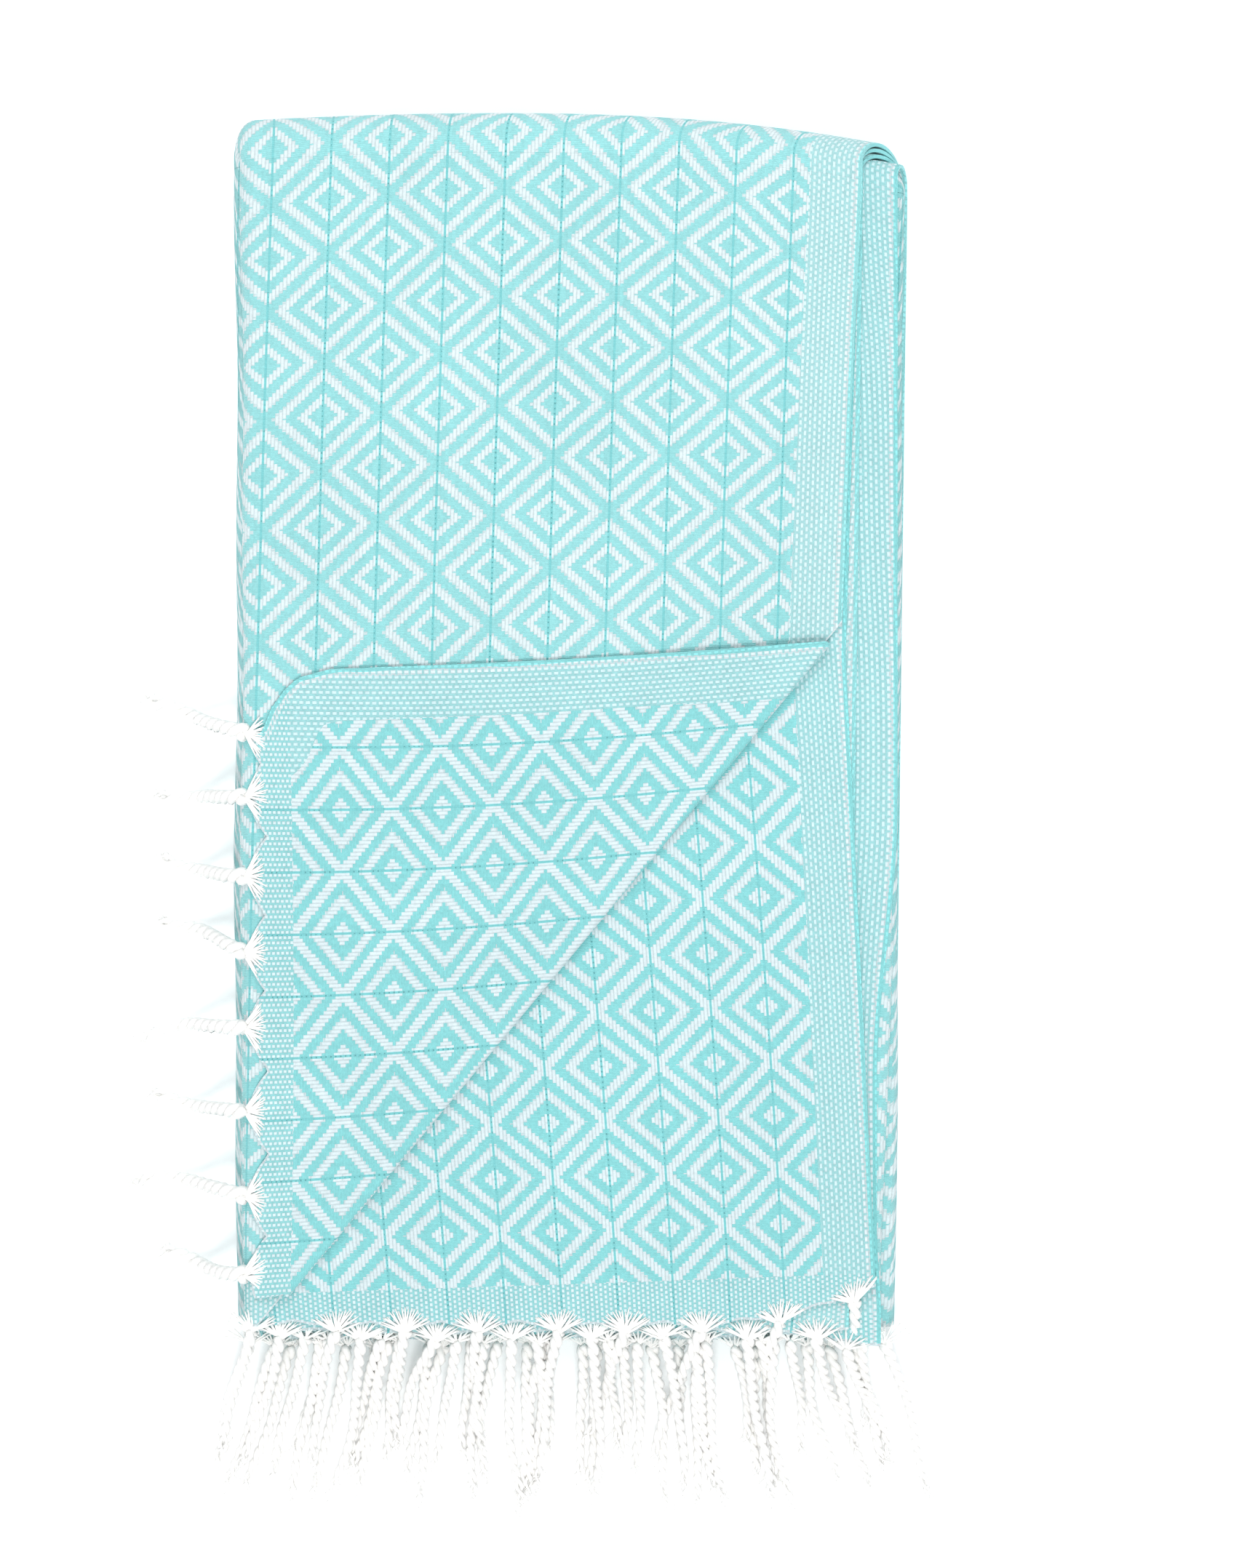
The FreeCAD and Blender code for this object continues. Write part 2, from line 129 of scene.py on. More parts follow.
def section(leaves, counts):
    """One ply across the cloth, through the four quarters' leaves and the three folds that join them."""
    places = []
    on = 0.0
    edges = ["selvedge", "left", "right", "left", "selvedge"]
    for number, leaf in enumerate(leaves):
        start, end = edges[number : number + 2]
        width = OUTER_QUARTER if "selvedge" in (start, end) else RIGHT - LEFT
        for step in range(counts[number] + 1):
            share = step / counts[number]
            places.append(Place(leaf, start, end, share, 0.0, LEAF_HEIGHT[leaf], on + share * width))
        on += width
        if end == "selvedge":
            break
        low, high = LEAF_HEIGHT[leaf], LEAF_HEIGHT[leaves[number + 1]]
        radius = (high - low) / 2
        side = -1 if end == "left" else 1
        for step in range(1, FOLD_STEPS[number]):
            angle = math.pi * step / FOLD_STEPS[number]
            out = side * abs(radius) * math.sin(angle)
            height = (low + high) / 2 - radius * math.cos(angle)
            places.append(Place(leaf, end, end, 1.0, out, height, on + abs(radius) * angle))
        on += abs(radius) * math.pi
    return places


def heights_of(places):
    return np.array([place.height for place in places])[:, None]


def lay_across(places, y, low):
    """X of every place of a section at each y: an array of places by rows."""
    y, low = np.broadcast_arrays(np.asarray(y, float), np.asarray(low, float))
    lines = []
    for leaf, start, end, share, out, _, _ in places:
        near, far = (
            selvedge_x(leaf, y, low) if edge == "selvedge" else fold_x(edge, y, low) for edge in (start, end)
        )
        lines.append(near * (1 - share) + far * share + out)
    return np.array(lines)


def settle(points):
    """Gives the flat stack its softness: low waves, dropped ends, and a last fold that isn't square."""
    x, y, z = points[..., 0], points[..., 1], points[..., 2]
    waves = 0.010 * np.sin(x / 31 + 0.7) * np.sin(y / 43 + 0.4) + 0.007 * np.sin(x / 17 - y / 26)
    front_drop = 0.05 * ease(-y, 205, 226)
    right_drop = 0.05 * ease(x, 96, 118) * ease(z, 16, 22)
    rise = 1 + (waves - front_drop - right_drop)
    right_skew = 10.0 * (np.maximum(x + 20, 0) / 128) ** 2.2
    left_skew = 2.7 * (np.maximum(-x - 24, 0) / 93) ** 2
    return np.stack([x, y + (-right_skew - left_skew) * ease(y, 110, BACK), z * rise], -1)


# How the weave lies: its place at the origin, how much it goes on with each 100 mm to the right and to the back,
# and how much it fans out and bows.
Lie = namedtuple("Lie", "start right back fan bow_right bow_back")


def weave_at(x, y, lie):
    """A place in the weave, which leans, fans and bows a little, as that of a laid cloth does."""
    x, y = x / 100, y / 100
    straight = lie.start + lie.right * x + lie.back * y
    return straight + lie.fan * x * y + lie.bow_right * x * x + lie.bow_back * y * y


# Each knot gathers a fan of bare warp yarns out of the cloth's end: half its width, its yarns on the rows that
# show and on the hidden ones, how far back they start and how unevenly, and the end's hem and notches.
FAN = 9.6
FAN_YARNS, HIDDEN_YARNS = 21, 9
YARN_REACH = 6.0
UNEVEN = 2.4
HEM = 1.2
HALF_GAP = 13.0
NOTCH = 1.6


def drawn_back(across, roots, notch, reach=2.4):
    """How far a cloth's end lies back from its knots: a little over each knot, and at the notch between two."""
    nearest = np.min(np.abs(np.asarray(across)[..., None] - np.array(roots)), axis=-1)
    fan = reach * np.sqrt(np.clip(1 - (nearest / FAN) ** 2, 0, 1))
    return np.maximum(fan, HEM + notch * (nearest / HALF_GAP) ** 2)


def fan_spread(yarns):
    """How far to the side of its knot each yarn of a fan starts, closer together at the fan's sides."""
    return 0.96 * FAN * np.sin(np.linspace(-1.35, 1.35, yarns))


# Each row hangs from one leaf, its tassels a lane apart from the other rows' and 28 mm from each other. Those
# of the top row are tied a few mm off their lanes.
ROW_OF_LEAF = {8: 4, 9: 2, 10: 6, 11: 0, 12: 5, 13: 3, 14: 1}
LANE = 4.0
LANES = 59
ROWS = 7
TIED_OFF = [-2.8, -0.2, -3.1, -4.7, -3.2, -6.9, -7.2, -6.6, -7.7]
LEAF_END = {8: -227.2, 9: -226.8, 10: -226.0, 11: -225.4, 12: -224.4, 13: -223.6, 14: -220.6}


def roots_of(leaf):
    """X of the knots along a leaf's fringed end."""
    lanes = range(ROW_OF_LEAF[leaf], LANES, ROWS)
    roots = [(lane - (LANES - 1) / 2) * LANE for lane in lanes]
    if leaf == 14:
        return [root + off for root, off in zip(roots, TIED_OFF)]
    return [root + 1.5 * math.sin(1.3 * lane) for root, lane in zip(roots, lanes)]


def warp_end(leaf, x):
    """Y of the fringed end of a leaf. On the right the second leaf's end lies further back."""
    x = np.asarray(x, float)
    if leaf == 14:
        return LEAF_END[leaf] + 11.0 * np.maximum((x - 45) / 60, 0) ** 2
    end = LEAF_END[leaf] + 0.7 * np.sin(x / 23 + leaf)
    if leaf >= 12:
        end = end + (2.0 if leaf == 13 else -5.0) * np.maximum((x - 60) / 55, 0) ** 2
    return end


def cloth_end(leaf, x):
    """Y where a leaf's weft stops. From there the warp yarns draw together in fans."""
    return warp_end(leaf, x) + drawn_back(x, roots_of(leaf), NOTCH)


def two_faced_grid(name, points, weave, edges, materials, flip):
    """Makes a cloth from rows of places in mm. Its weave and its distances from the edges go in two UV maps."""
    rows, columns = points.shape[:2]
    number = np.arange(rows * columns).reshape(rows, columns)
    corners = [number[:-1, :-1], number[1:, :-1], number[1:, 1:], number[:-1, 1:]]
    quads = np.stack(corners[::-1] if flip else corners, -1).reshape(-1, 4)
    mesh = bpy.data.meshes.new(name)
    mesh.from_pydata((points.reshape(-1, 3) * MM).tolist(), [], quads.tolist())
    for title, places in (("weave", weave), ("edges", edges)):
        layer = mesh.uv_layers.new(name=title)
        at_corners = (places.reshape(-1, 2) * MM)[quads.ravel()]
        layer.data.foreach_set("uv", at_corners.astype(np.float32).ravel())
    piece = bpy.data.objects.new(name, mesh)
    bpy.context.scene.collection.objects.link(piece)
    for material in materials:
        mesh.materials.append(material)
    finish_cloth(piece)
    return piece


def finish_cloth(piece):
    """Gives a cloth its wall, its other face and its bound edge."""
    for other in bpy.context.selected_objects:
        other.select_set(False)
    bpy.context.view_layer.objects.active = piece
    piece.select_set(True)
    wall = piece.modifiers.new("wall", "SOLIDIFY")
    wall.thickness = CLOTH * MM
    wall.offset = 0
    wall.material_offset = 1
    wall.material_offset_rim = 2
    bpy.ops.object.modifier_apply(modifier=wall.name)
    bpy.ops.object.shade_smooth_by_angle(angle=math.radians(55))


def linear(colour):
    """An sRGB hex colour as linear light."""
    parts = [int(colour[place : place + 2], 16) / 255 for place in (0, 2, 4)]
    return [p / 12.92 if p <= 0.04045 else ((p + 0.055) / 1.055) ** 2.4 for p in parts] + [1.0]


def node(tree, kind, *feeds, at=None, **settings):
    """Adds a node. Feeds go to its sockets in order, or by name: a value is set, a socket is linked."""
    made = tree.nodes.new("ShaderNode" + kind)
    for title, value in settings.items():
        setattr(made, title, value)
    wanted = list(enumerate(feeds)) + list((at or {}).items())
    for place, feed in wanted:
        if isinstance(feed, bpy.types.NodeSocket):
            tree.links.new(feed, made.inputs[place])
        elif feed is not None:
            made.inputs[place].default_value = feed
    return made.outputs[0] if made.outputs else made


# Yarns, and pairs of them in the borders, from one pin line to the next. Picks, ribs and pin holes to half a
# diamond. Widths from an edge are in metres, and those off a pin line are shares of the pins' spacing.
YARNS = 16.0
BORDER_PAIRS = 12.0
PICKS = 50.0
RIBS = 33.0
HOLES = 10.5
SELVEDGE_BORDER = 0.0190
LIP = 0.0015
CORD_PLACE, CORD_HALF = 0.0024, 0.0008
BARE_END = 0.0009
PATTERN_START = 0.03
PIN_HALF = 0.021
HOLE_HALF = 0.013
PIN_YARN, PAINTED_HOLE_SHADE = "84D3D5", "68ADB0"


def jacquard(name, bands, turquoise, white):
    """Combed cotton, jacquard woven: matt, with floats of white or turquoise yarn over the ground. bands are
    the rings of a diamond that are white, as shares of the way out from its middle."""
    material = bpy.data.materials.new(name)
    material.use_nodes = True
    tree = material.node_tree
    tree.nodes.clear()

    def add(kind, *feeds, **settings):
        return node(tree, kind, *feeds, **settings)

    # Weave coordinates: 1 across is from pin line to pin line, 1 along is half a diamond.
    scale = (1000 / PIN_SPACING, 1000 / DIAMOND_HEIGHT, 0)
    scaled = add("VectorMath", add("UVMap", uv_map="weave"), scale, operation="MULTIPLY")
    place = add("SeparateXYZ", scaled)
    across, along = place, place.node.outputs[1]
    edge = add("SeparateXYZ", add("UVMap", uv_map="edges"))
    from_selvedge, from_end = edge, edge.node.outputs[1]

    # 16 warp yarns from pin to pin, drawn a third coarser than the real ones so that they show. Each float
    # lies across its band from edge to edge, and its ends step with the 0.4 mm picks.
    yarn = add("Math", across, YARNS, operation="MULTIPLY")
    column = add("Math", yarn, operation="FLOOR")
    stepped = add("Math", add("Math", column, 0.5, operation="ADD"), YARNS, operation="DIVIDE")
    slope_up = add("Math", add("Math", stepped, along, operation="ADD"), 1.0, operation="PINGPONG")
    slope_down = add("Math", add("Math", stepped, along, operation="SUBTRACT"), 1.0, operation="PINGPONG")
    ring = add("Math", slope_up, slope_down, operation="MAXIMUM")
    run = add("Math", ring, 4.8, -0.13, operation="MULTIPLY_ADD")
    row = add("Math", run, operation="FLOOR")
    chance = add("TexWhiteNoise", add("CombineXYZ", column, row, 0.0), noise_dimensions="3D")
    shaken = add("Math", chance, 0.022, along, operation="MULTIPLY_ADD")
    pick = add("Math", add("Math", shaken, PICKS, operation="MULTIPLY"), operation="FLOOR")
    picked = add("Math", pick, PICKS, operation="DIVIDE")
    rising = add("Math", add("Math", stepped, picked, operation="ADD"), 1.0, operation="PINGPONG")
    falling = add("Math", add("Math", stepped, picked, operation="SUBTRACT"), 1.0, operation="PINGPONG")
    out = add("Math", rising, falling, operation="MAXIMUM")
    ramp = add("ValToRGB", out).node
    ramp.color_ramp.interpolation = "CONSTANT"
    stops = ramp.color_ramp.elements
    white_first = bands[0] == 0
    for number, position in enumerate(bands if white_first else [0.0, *bands]):
        stop = stops[number] if number < 2 else stops.new(position)
        stop.position = position
        stop.color = (1, 1, 1, 1) if (number % 2 == 0) == white_first else (0, 0, 0, 1)
    diamond = ramp.outputs[0]

    # Plain borders: white floats of two yarns, staggered, 2.6 mm long by the selvedge and 1.8 mm at the ends.
    in_selvedge = add("Math", from_selvedge, SELVEDGE_BORDER, operation="LESS_THAN")
    in_end = add("Math", along, PATTERN_START, operation="LESS_THAN")
    pair = add("Math", across, BORDER_PAIRS, operation="MULTIPLY")
    pair_number = add("Math", pair, operation="FLOOR")
    pitch = add("Math", in_end, 3.5, 7.6, operation="MULTIPLY_ADD")
    pitched = add("Math", along, pitch, operation="MULTIPLY")
    border_run = add("Math", pair_number, 0.5, pitched, operation="MULTIPLY_ADD")
    dash = add("Math", border_run, 0.5, operation="PINGPONG")
    dash = add("Math", dash, 6.0, -0.45, operation="MULTIPLY_ADD", use_clamp=True)
    slim = add("Math", pair, 0.5, operation="PINGPONG")
    slim = add("Math", slim, 8.0, -1.1, operation="MULTIPLY_ADD", use_clamp=True)
    border = add("Math", dash, slim, operation="MULTIPLY")
    contrast = add("Math", in_end, 0.28, 0.50, operation="MULTIPLY_ADD")
    least_white = add("Math", in_end, -0.13, 0.25, operation="MULTIPLY_ADD")
    border_white = add("Math", border, contrast, least_white, operation="MULTIPLY_ADD")
    plain = add("Math", in_selvedge, in_end, operation="MAXIMUM")
    white_part = add("MixRGB", plain, diamond, border_white)

    # The selvedge ends in a white cord of floats and a turquoise lip; the warp end is bare white yarn.
    lip = add("Math", from_selvedge, LIP, operation="LESS_THAN")
    cord = add("Math", from_selvedge, CORD_PLACE, CORD_HALF, operation="COMPARE")
    cord = add("Math", cord, dash, operation="MULTIPLY")
    bare = add("Math", from_end, BARE_END, operation="LESS_THAN")
    white_part = add("MixRGB", cord, white_part, (1, 1, 1, 1))
    white_part = add("MixRGB", lip, white_part, (0, 0, 0, 1))
    white_part = add("MixRGB", bare, white_part, (1, 1, 1, 1))

    # Pin lines: a sunk turquoise yarn from end to end, with a small hole every 1.9 mm or so. Each hole is
    # coloured dark teal, painted shade in the hole.
    off_pin = add("Math", across, 0.5, operation="PINGPONG")
    clear = add("Math", 1.0, in_selvedge, operation="SUBTRACT")
    pin = add("Math", add("Math", off_pin, PIN_HALF, operation="LESS_THAN"), clear, operation="MULTIPLY")
    hole_run = add("Math", along, HOLES, operation="MULTIPLY")
    hole = add("Math", add("Math", hole_run, 0.5, operation="PINGPONG"), 0.15, operation="LESS_THAN")
    hole = add("Math", hole, add("Math", chance, 0.62, operation="GREATER_THAN"), operation="MULTIPLY")
    hole = add("Math", hole, add("Math", off_pin, HOLE_HALF, operation="LESS_THAN"), operation="MULTIPLY")
    hole = add("Math", hole, clear, operation="MULTIPLY")

    # Relief: round yarns with a nip at each float's end; the ground is fine cross ribs.
    round_yarn = add("Math", add("Math", yarn, 0.5, operation="PINGPONG"), 2.0, operation="MULTIPLY")
    nip = add("Math", add("Math", run, 0.5, operation="PINGPONG"), 7.0, operation="MULTIPLY", use_clamp=True)
    float_height = add("Math", add("Math", round_yarn, 0.5, operation="POWER"), nip, operation="MULTIPLY")
    fibre_place = add("TexCoord").node.outputs["Object"]
    fibre = add("TexNoise", fibre_place, at={"Scale": 900.0, "Detail": 3.0, "Roughness": 0.7})
    ribs = add("Math", along, RIBS, operation="MULTIPLY")
    rib_run = add("Math", fibre, 0.7, ribs, operation="MULTIPLY_ADD")
    rib = add("Math", add("Math", rib_run, 0.5, operation="PINGPONG"), 2.0, operation="MULTIPLY")
    ground_height = add("Math", rib, 0.75, 0.15, operation="MULTIPLY_ADD")
    relief = add("MixRGB", plain, add("MixRGB", white_part, ground_height, float_height), border)
    height = add("Math", pin, -0.35, relief, operation="MULTIPLY_ADD")
    height = add("Math", hole, -0.5, height, operation="MULTIPLY_ADD")

    # Colour: each yarn a tone of its own, painted shade in the gaps between yarns, and slow cloudiness over the
    # cloth.
    cloud = add("TexNoise", fibre_place, at={"Scale": 22.0, "Detail": 2.0})
    # Painted shade: the low places of the relief, between yarns and ribs, are darkened in the colour.
    shade = add("Math", relief, 0.20, 0.83, operation="MULTIPLY_ADD")
    shade = add("Math", add("Math", fibre, 0.5, operation="SUBTRACT"), 0.42, shade, operation="MULTIPLY_ADD")
    shade = add("Math", add("Math", chance, 0.5, operation="SUBTRACT"), 0.05, shade, operation="MULTIPLY_ADD")
    shade = add("Math", add("Math", cloud, 0.5, operation="SUBTRACT"), 0.10, shade, operation="MULTIPLY_ADD")
    bound = add("Math", float_height, 3.0, operation="MULTIPLY", use_clamp=True)
    bound = add("Math", add("Math", bound, 0.30, 0.70, operation="MULTIPLY_ADD"), plain, operation="MAXIMUM")
    whiteness = add("Math", white_part, bound, operation="MULTIPLY")
    colour = add("MixRGB", whiteness, linear(turquoise), linear(white))
    colour = add("MixRGB", pin, colour, linear(PIN_YARN))
    # Painted shade: the pin holes get a darker teal colour.
    colour = add("MixRGB", hole, colour, linear(PAINTED_HOLE_SHADE))
    colour = add("MixRGB", 1.0, colour, shade, blend_type="MULTIPLY")
    bump = add("Bump", at={"Strength": 0.7, "Distance": 0.0003, "Height": height})
    shader = add("BsdfPrincipled", colour, at={
        "Roughness": 0.92, "Specular IOR Level": 0.2, "Sheen Weight": 0.25, "Sheen Roughness": 0.5,
        "Normal": bump,
    })
    add("OutputMaterial", shader)
    return material


def spun_cotton(name, colour, scale, depth):
    """Spun cotton yarn: matt, slightly hairy, in one colour."""
    material = bpy.data.materials.new(name)
    material.use_nodes = True
    tree = material.node_tree
    tree.nodes.clear()
    place = node(tree, "TexCoord").node.outputs["Object"]
    fibre = node(tree, "TexNoise", place, at={"Scale": scale, "Detail": 4.0, "Roughness": 0.7})
    shade = node(tree, "Math", fibre, depth, 1.0 - depth / 2, operation="MULTIPLY_ADD")
    tinted = node(tree, "MixRGB", 1.0, linear(colour), shade, blend_type="MULTIPLY")
    bump = node(tree, "Bump", at={"Strength": 0.5, "Distance": 0.0003, "Height": fibre})
    shader = node(tree, "BsdfPrincipled", tinted, at={
        "Roughness": 0.9, "Specular IOR Level": 0.2, "Sheen Weight": 0.3, "Sheen Roughness": 0.5,
        "Normal": bump,
    })
    node(tree, "OutputMaterial", shader)
    return material


# The back's turquoise and white are set a little darker than the face's: painted shade for the second leaf and
# the turned corner, where the back shows.
face_weave = jacquard("jacquard_cotton_face", [0.25, 0.43, 0.66, 0.88], "9BDEDF", "D5E3E5")
back_weave = jacquard("jacquard_cotton_back", [0, 0.20, 0.44, 0.67, 0.88], "8FDBDC", "D3E2E5")
selvedge_yarn = spun_cotton("selvedge_yarn_turquoise", "8CD6D8", 800.0, 0.25)
CLOTH_FINISH = [face_weave, back_weave, selvedge_yarn]

TOP_ACROSS = Lie(start=3.62, right=-4.79, back=0.13, fan=0.01, bow_right=-0.03, bow_back=0.01)
TOP_ALONG = Lie(start=10.14, right=-0.23, back=5.01, fan=0.06, bow_right=0.12, bow_back=0.02)


def weave_of(places, x, y, along_y, across_lie, along_lie):
    """Weave coordinates in mm. The first quarter lies its own way, and the rest goes on from its left fold."""
    first = max(number for number, place in enumerate(places) if place.start == "selvedge")
    across = np.zeros_like(x)
    along = np.zeros_like(x)
    left = fold_x("left", y[first], 0.0)
    turn = places[first].on
    for number, place in enumerate(places):
        if number <= first:
            across[number] = weave_at(x[number], along_y[number], across_lie)
            along[number] = weave_at(x[number], along_y[number], along_lie)
        else:
            on = (place.on - turn) / PIN_SPACING
            across[number] = weave_at(left, along_y[number], across_lie) + on
            along[number] = weave_at(left, along_y[number], along_lie)
    return np.stack([across * PIN_SPACING, along * DIAMOND_HEIGHT], -1)


def edges_of(places, x, y, end, low):
    """Distances in mm from the nearer selvedge and from the fringed end."""
    whole = places[-1].on
    from_selvedge = np.zeros_like(x)
    for number, place in enumerate(places):
        if "selvedge" in (place.start, place.end):
            from_selvedge[number] = selvedge_x(place.leaf, y[number], low) - x[number]
        else:
            from_selvedge[number] = min(place.on, whole - place.on)
    return np.stack([from_selvedge, y - end], -1)


LEAF_ROWS = 156
CORNER_BORDER = 16.0
FIRST_FOLD_END = -219.0


def upper_ply(name, places, across_lie, along_lie, ends, flip):
    """A ply of the upper half. ends gives each place's fringed end from its leaf and X."""
    share = np.linspace(0, 1, LEAF_ROWS) ** 1.12
    x = lay_across(places, np.full(LEAF_ROWS, FRONT), 0.0)
    end = ends(places, x)
    y = end[:, :1] + (BACK - end[:, :1]) * share
    x = np.array([lay_across([place], y[number], 0.0)[0] for number, place in enumerate(places)])
    z = heights_of(places) + 0 * x
    weave = weave_of(places, x, y, y, across_lie, along_lie)
    # What shows of the first leaf beside the turned corner's foot is its plain end border.
    near_end = np.array([place.leaf == 15 for place in places])[:, None] * ease(-y, 195, 203)
    weave[..., 1] -= CORNER_BORDER * near_end
    edges = edges_of(places, x, y, end[:, :1], 0.0)
    return two_faced_grid(name, settle(np.stack([x, y, z], -1)), weave, edges, CLOTH_FINISH, flip)


def ends_of_a(places, x):
    """The outer ply's fringed ends. The first leaf stops at the crease, where its corner turns back."""
    end = np.zeros_like(x)
    for number, place in enumerate(places):
        if place.leaf == 15 and place.start == "selvedge":
            y = (x[number] - CREASE_FOOT) * CREASE_SLOPE
            for _ in range(4):
                side = lay_across([place], y, 0.0)[0]
                y = (side - CREASE_FOOT) * CREASE_SLOPE
            end[number] = y
        elif place.leaf == 15:
            end[number] = FIRST_FOLD_END
        else:
            end[number] = cloth_end(place.leaf, x[number])
    return end


across_a = section((15, 8, 11, 12), (92, 30, 26, 34))
upper_a = upper_ply("upper_cloth_a", across_a, TOP_ACROSS, TOP_ALONG, ends_of_a, flip=True)
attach(upper_a, "upper_half")
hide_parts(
    "top_leaf", "upper_left_fold_1", "upper_leaf_1", "upper_right_fold_1", "upper_leaf_4",
    "upper_left_fold_4", "upper_leaf_5",
)


# --- the upper cloth, inner ply ------------------------------------------------------------------
# The same cloth's other half, one leaf inside the first all the way round. Its first quarter is the
# second leaf, whose wrong side shows where the corner is turned back, down to its knotted warp end.

SECOND_ACROSS = Lie(start=4.08, right=-4.70, back=-0.45, fan=0.08, bow_right=-0.08, bow_back=-0.03)
SECOND_ALONG = Lie(start=10.26, right=-0.15, back=4.98, fan=0.01, bow_right=-0.01, bow_back=-0.02)


def ends_of_b(places, x):
    """The inner ply's fringed ends."""
    return np.array([cloth_end(place.leaf, x[number]) for number, place in enumerate(places)])


across_b = section((14, 9, 10, 13), (96, 28, 24, 34))
upper_b = upper_ply("upper_cloth_b", across_b, SECOND_ACROSS, SECOND_ALONG, ends_of_b, flip=False)
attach(upper_b, "upper_half")
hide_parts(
    "second_leaf", "upper_left_fold_2", "upper_leaf_2", "upper_right_fold_2", "upper_leaf_3",
    "upper_left_fold_3", "upper_leaf_6",
)


# --- the last fold -------------------------------------------------------------------------------
# The whole stack is doubled over once more at the back. Each ply goes round in a half turn, eight
# thick, and the side folds go round with it.

FOLD_BULGE = 1.2
FOLD_ROWS = 25


def wrap_ply(name, places, across_lie, along_lie, flip):
    """A ply's half turn round the last fold, from the upper half down to the lower."""
    steps = np.linspace(0, 1, FOLD_ROWS)
    angle = math.pi * steps
    low = ease(steps, 0.1, 0.9)
    height = heights_of(places) - FOLD_HEIGHT
    x = lay_across(places, np.full(FOLD_ROWS, BACK), low)
    y = FOLD_AXIS + FOLD_BULGE * height * np.sin(angle)
    y[:, 0] = BACK
    z = FOLD_HEIGHT + height * np.cos(angle)
    rest_x = lay_across(places, np.full(FOLD_ROWS, BACK), 0.0)
    rest_y = np.full_like(x, BACK)
    weave = weave_of(places, rest_x, rest_y, BACK + height * angle, across_lie, along_lie)
    edges = edges_of(places, rest_x, rest_y, 0.0, 0.0)
    return two_faced_grid(name, settle(np.stack([x, y, z], -1)), weave, edges, CLOTH_FINISH, flip)


last_fold_a = wrap_ply("last_fold_a", across_a, TOP_ACROSS, TOP_ALONG, flip=True)
last_fold_b = wrap_ply("last_fold_b", across_b, SECOND_ACROSS, SECOND_ALONG, flip=False)
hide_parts("top_fold_8", "top_fold_1", "top_fold_4", "top_fold_5")
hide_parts("top_fold_left_turn", "top_fold_right_turn")
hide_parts("top_fold_7", "top_fold_2", "top_fold_3", "top_fold_6")
for ply in (last_fold_a, last_fold_b):
    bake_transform(ply)


# --- the lower cloth -----------------------------------------------------------------------------
# Under the last fold the two plies are one piece of cloth: its middle, doubled at the front in the
# first fold of all. It lies on the table, wider than the stack above it.

LOWER_ROWS = 58
FIRST_FOLD_BULGE = 1.2
across_inner = section((14, 9, 10, 13), (92, 30, 26, 34))


def lower_cloth(name):
    """Both plies of the lower half, joined at the front: x, y and z run over the outer ply, round the first
    fold and back over the inner ply."""
    run = BACK + (LOWER_FRONT - BACK) * np.linspace(0, 1, LOWER_ROWS)
    bend = math.pi * np.linspace(0, 1, 8)[1:-1]
    xa, xb = lay_across(across_a, run, 1.0), lay_across(across_inner, run, 1.0)
    height_a, height_b = heights_of(across_a), heights_of(across_inner)
    za, zb = 2 * FOLD_HEIGHT - height_a + 0 * xa, 2 * FOLD_HEIGHT - height_b + 0 * xb
    ya = run + 0 * xa
    middle_x, half_x = (xa[:, -1:] + xb[:, -1:]) / 2, (xa[:, -1:] - xb[:, -1:]) / 2
    middle_z, half_z = (za[:, -1:] + zb[:, -1:]) / 2, (za[:, -1:] - zb[:, -1:]) / 2
    reach = np.minimum(np.hypot(half_x, half_z), FIRST_FOLD_BULGE)
    x = np.hstack([xa, middle_x + half_x * np.cos(bend), xb[:, ::-1]])
    z = np.hstack([za, middle_z + half_z * np.cos(bend), zb[:, ::-1]])
    y = np.hstack([ya, LOWER_FRONT - reach * np.sin(bend), ya[:, ::-1]])
    length = BACK - LOWER_FRONT
    on = np.hstack([BACK - run, length + 0.9 * bend, length + 2.8 + run[::-1] - LOWER_FRONT])
    rest_x = lay_across(across_a, np.full(len(on), BACK), 0.0)
    rest_y = np.full_like(x, BACK)
    along = BACK + math.pi * (height_a - FOLD_HEIGHT) + on
    weave = weave_of(across_a, rest_x, rest_y, along, TOP_ACROSS, TOP_ALONG)
    edges = edges_of(across_a, rest_x, rest_y, 0.0, 0.0)
    return two_faced_grid(name, settle(np.stack([x, y, z], -1)), weave, edges, CLOTH_FINISH, flip=True)


lower = lower_cloth("lower_cloth")
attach(lower, "lower_half")
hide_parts(*[f"lower_leaf_{n}" for n in range(1, 9)], *[f"bottom_fold_{n}" for n in range(1, 5)])
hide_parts(*[f"lower_left_fold_{n}" for n in range(1, 5)], "lower_right_fold_1", "lower_right_fold_2")


# --- the turned corner ---------------------------------------------------------------------------
# The top leaf's near corner is folded back over a slanting crease, wrong side up. Its selvedge lies
# across the towel and its warp end hangs over the left folds. The crease is a soft roll.

FLAP_ACROSS = Lie(start=-0.28, right=0.27, back=-4.58, fan=-0.22, bow_right=0.18, bow_back=0.05)
FLAP_ALONG = Lie(start=5.51, right=5.42, back=0.20, fan=0.07, bow_right=-0.03, bow_back=0.06)
FLAP_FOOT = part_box("corner_flap")[0].y / MM
FLAP_ROOTS = [FLAP_FOOT + up for up in (203.6, 180.6, 151.6, 123.8, 96.6, 66.0, 35.4, 6.9)]
FLAP_END = -116.4
FLAP_TOP = 29.8
CORNER_NOTCH = 5.0
CORNER_ROWS, CORNER_COLUMNS = 128, 96
ROLL = 1.35
ROLL_SPREAD = 9.0
CREASE_ANGLE = math.atan(CREASE_SLOPE)
LEAF_TOP = LEAF_HEIGHT[15]
FLAP_HEIGHT = LEAF_TOP + CLOTH + 0.5

